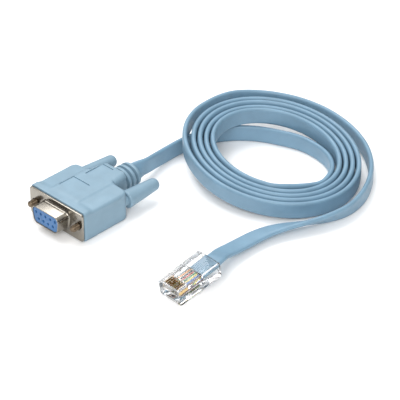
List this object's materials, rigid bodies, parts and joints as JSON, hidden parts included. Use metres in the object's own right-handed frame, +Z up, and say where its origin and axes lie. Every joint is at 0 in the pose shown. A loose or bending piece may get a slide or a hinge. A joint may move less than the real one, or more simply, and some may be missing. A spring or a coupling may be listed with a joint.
{
  "type": "console cable",
  "caption": "Flat light-blue console cable, loosely coiled on edge, with a moulded D-shaped socket connector with thumbscrews and a clear modular plug.",
  "frame": {"origin": "on the level the cable lies on, under the middle of the socket connector's box of extents", "axes": "+Z up, -Y the way the socket connector's D-shaped shell faces, X across its two screws"},
  "size_m": [0.0981, 0.1381, 0.0172],
  "materials": {
    "blue_moulding": "satin light blue PVC moulding, fine matt grain",
    "cable_jacket": "satin light blue flat PVC jacket",
    "nickel_shell": "bright nickel plating",
    "screw_steel": "plated steel thread",
    "insert_blue": "mid blue insulator",
    "contact_gold": "gold plated",
    "clear_plug": "clear polycarbonate",
    "insulation_1": "grey insulation",
    "insulation_2": "orange insulation",
    "insulation_3": "black insulation",
    "insulation_4": "red insulation",
    "insulation_5": "green insulation",
    "insulation_6": "yellow insulation",
    "insulation_7": "blue insulation",
    "insulation_8": "brown insulation"
  },
  "bodies": {
    "cable": {"moulded_hood": "blue_moulding", "front_shell": "nickel_shell", "socket_insert": "insert_blue", "socket_contact_1": "contact_gold", "socket_contact_2": "contact_gold", "socket_contact_3": "contact_gold", "socket_contact_4": "contact_gold", "socket_contact_5": "contact_gold", "socket_contact_6": "contact_gold", "socket_contact_7": "contact_gold", "socket_contact_8": "contact_gold", "socket_contact_9": "contact_gold", "cable_lead_socket": "cable_jacket", "cable_coil": "cable_jacket", "cable_lead_plug": "cable_jacket", "plug_housing": "clear_plug", "plug_contact_1": "contact_gold", "plug_contact_2": "contact_gold", "plug_contact_3": "contact_gold", "plug_contact_4": "contact_gold", "plug_contact_5": "contact_gold", "plug_contact_6": "contact_gold", "plug_contact_7": "contact_gold", "plug_contact_8": "contact_gold", "conductor_1": "insulation_1", "conductor_2": "insulation_2", "conductor_3": "insulation_3", "conductor_4": "insulation_4", "conductor_5": "insulation_5", "conductor_6": "insulation_6", "conductor_7": "insulation_7", "conductor_8": "insulation_8"},
    "thumbscrew_left": {"thumbscrew_grip_left": "blue_moulding", "jackscrew_left": "screw_steel"},
    "thumbscrew_right": {"thumbscrew_grip_right": "blue_moulding", "jackscrew_right": "screw_steel"},
    "latch": {"plug_latch": "clear_plug"}
  },
  "joints": [
    {"name": "thumbscrew_left_turn", "type": "hinge", "parent": "cable", "child": "thumbscrew_left", "pos_m": [-0.01249, 0, 0.0068], "axis": [0, 1, 0], "continuous": true},
    {"name": "thumbscrew_right_turn", "type": "hinge", "parent": "cable", "child": "thumbscrew_right", "pos_m": [0.01249, 0, 0.0068], "axis": [0, 1, 0], "continuous": true},
    {"name": "latch_press", "type": "hinge", "parent": "cable", "child": "latch", "pos_m": [0.06607, -0.01914, 0.00067], "axis": [0.999, -0.0436, 0], "range_deg": [0, 8], "stiffness_Nm_per_rad": 0.4}
  ]
}
